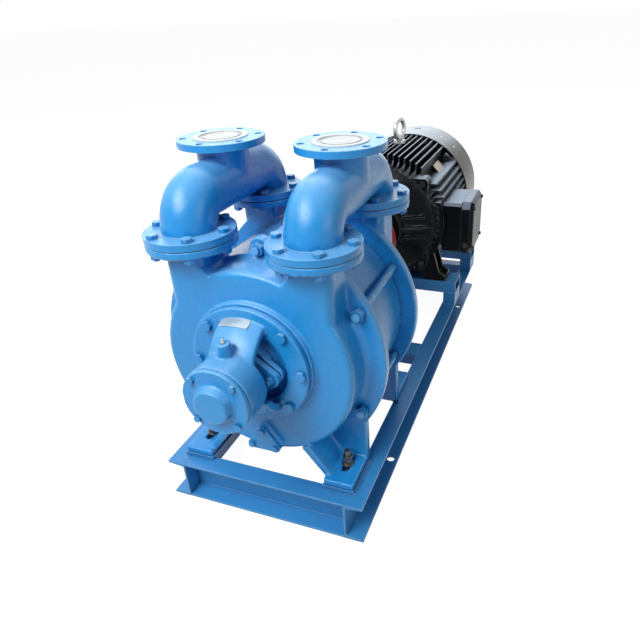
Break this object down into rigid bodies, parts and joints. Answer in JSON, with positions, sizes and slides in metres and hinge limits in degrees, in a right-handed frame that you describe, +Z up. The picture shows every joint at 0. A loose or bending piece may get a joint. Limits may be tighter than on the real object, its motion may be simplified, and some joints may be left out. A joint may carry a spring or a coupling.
{
  "type": "liquid ring vacuum pump",
  "caption": "Liquid ring vacuum pump with twin suction and discharge manifolds, coupled to a finned motor on a welded channel-steel base.",
  "frame": {"origin": "on the floor, at the centre of the rectangle of the four anchor holes", "axes": "+Z up, +Y along the shaft from the free end of the pump to the motor, +X to the right seen from the pump's free end"},
  "size_m": [0.656, 1.851, 0.958],
  "materials": {
    "blue_paint": "semi-gloss",
    "black_paint": "semi-gloss",
    "bronze_paint": "gloss",
    "red_paint": "semi-gloss",
    "zinc_steel": "zinc plated",
    "machined_steel": "turned",
    "bearing_steel": "ground",
    "grey_iron": "machined",
    "motor_core": "varnished",
    "rubber": "matt",
    "white_plastic": "satin",
    "fan_plastic": "matt"
  },
  "bodies": {
    "set_base": {"side_rail_left": "blue_paint", "side_rail_right": "blue_paint", "front_cross_rail": "blue_paint", "middle_cross_rail": "blue_paint", "rear_cross_rail": "blue_paint", "foot_pads": "blue_paint", "motor_bridges": "blue_paint", "bridge_posts": "blue_paint", "front_cover": "blue_paint", "rear_cover": "blue_paint", "casing": "blue_paint", "tie_rods": "blue_paint", "tie_rod_nuts": "blue_paint", "front_bracket": "blue_paint", "rear_bracket": "blue_paint", "bracket_bolts": "blue_paint", "front_bearing_cap": "blue_paint", "rear_bearing_cap": "blue_paint", "small_bolts": "blue_paint", "gland_studs": "blue_paint", "front_port_plate": "blue_paint", "rear_port_plate": "blue_paint", "drain_covers": "blue_paint", "suction_manifold": "blue_paint", "discharge_manifold": "blue_paint", "manifold_bolts": "blue_paint", "bearing_outer_races": "bearing_steel", "pump_foot_bolts": "zinc_steel", "shield_bolts": "zinc_steel", "lifting_eye": "zinc_steel", "manifold_gaskets": "rubber", "packing_rings": "rubber", "motor_frame": "black_paint", "motor_front_shield": "black_paint", "motor_rear_shield": "black_paint", "terminal_box": "black_paint", "terminal_lid": "black_paint", "stator": "motor_core", "fan_cowl": "bronze_paint"},
    "pump_rotor": {"impeller": "grey_iron", "pump_shaft": "machined_steel", "shaft_sleeves": "machined_steel", "pump_keys": "machined_steel", "pump_inner_races": "bearing_steel", "coupling_pump_half": "red_paint"},
    "motor_rotating": {"motor_rotor": "motor_core", "motor_shaft": "machined_steel", "motor_key": "machined_steel", "motor_inner_races": "bearing_steel", "motor_fan": "fan_plastic", "coupling_motor_half": "red_paint", "coupling_pins": "machined_steel", "coupling_bushes": "rubber"},
    "bearing_train": {"bearing_balls": "bearing_steel"},
    "front_gland_set": {"front_gland": "blue_paint", "front_gland_nuts": "blue_paint"},
    "rear_gland_set": {"rear_gland": "blue_paint", "rear_gland_nuts": "blue_paint"},
    "suction_cap": {"suction_plug": "white_plastic"},
    "discharge_cap": {"discharge_plug": "white_plastic"}
  },
  "joints": [
    {"name": "motor_spin", "type": "hinge", "parent": "set_base", "child": "motor_rotating", "pos_m": [0, 0.189, 0.4695], "axis": [0, 1, 0], "continuous": true},
    {"name": "pump_spin", "type": "hinge", "parent": "set_base", "child": "pump_rotor", "pos_m": [0, -0.5125, 0.4695], "axis": [0, 1, 0], "continuous": true},
    {"name": "bearing_spin", "type": "hinge", "parent": "set_base", "child": "bearing_train", "pos_m": [0, -0.5125, 0.4695], "axis": [0, 1, 0], "continuous": true},
    {"name": "front_gland_slide", "type": "slide", "parent": "set_base", "child": "front_gland_set", "axis": [0, -1, 0], "range_m": [0, 0.008]},
    {"name": "rear_gland_slide", "type": "slide", "parent": "set_base", "child": "rear_gland_set", "axis": [0, 1, 0], "range_m": [0, 0.008]},
    {"name": "suction_plug_pull", "type": "slide", "parent": "set_base", "child": "suction_cap", "axis": [0, 0, 1], "range_m": [0, 0.02]},
    {"name": "discharge_plug_pull", "type": "slide", "parent": "set_base", "child": "discharge_cap", "axis": [0, 0, 1], "range_m": [0, 0.02]}
  ],
  "couplings": [
    {"joint": "pump_spin", "follows": "motor_spin", "ratio": 1},
    {"joint": "bearing_spin", "follows": "motor_spin", "ratio": 0.394}
  ]
}
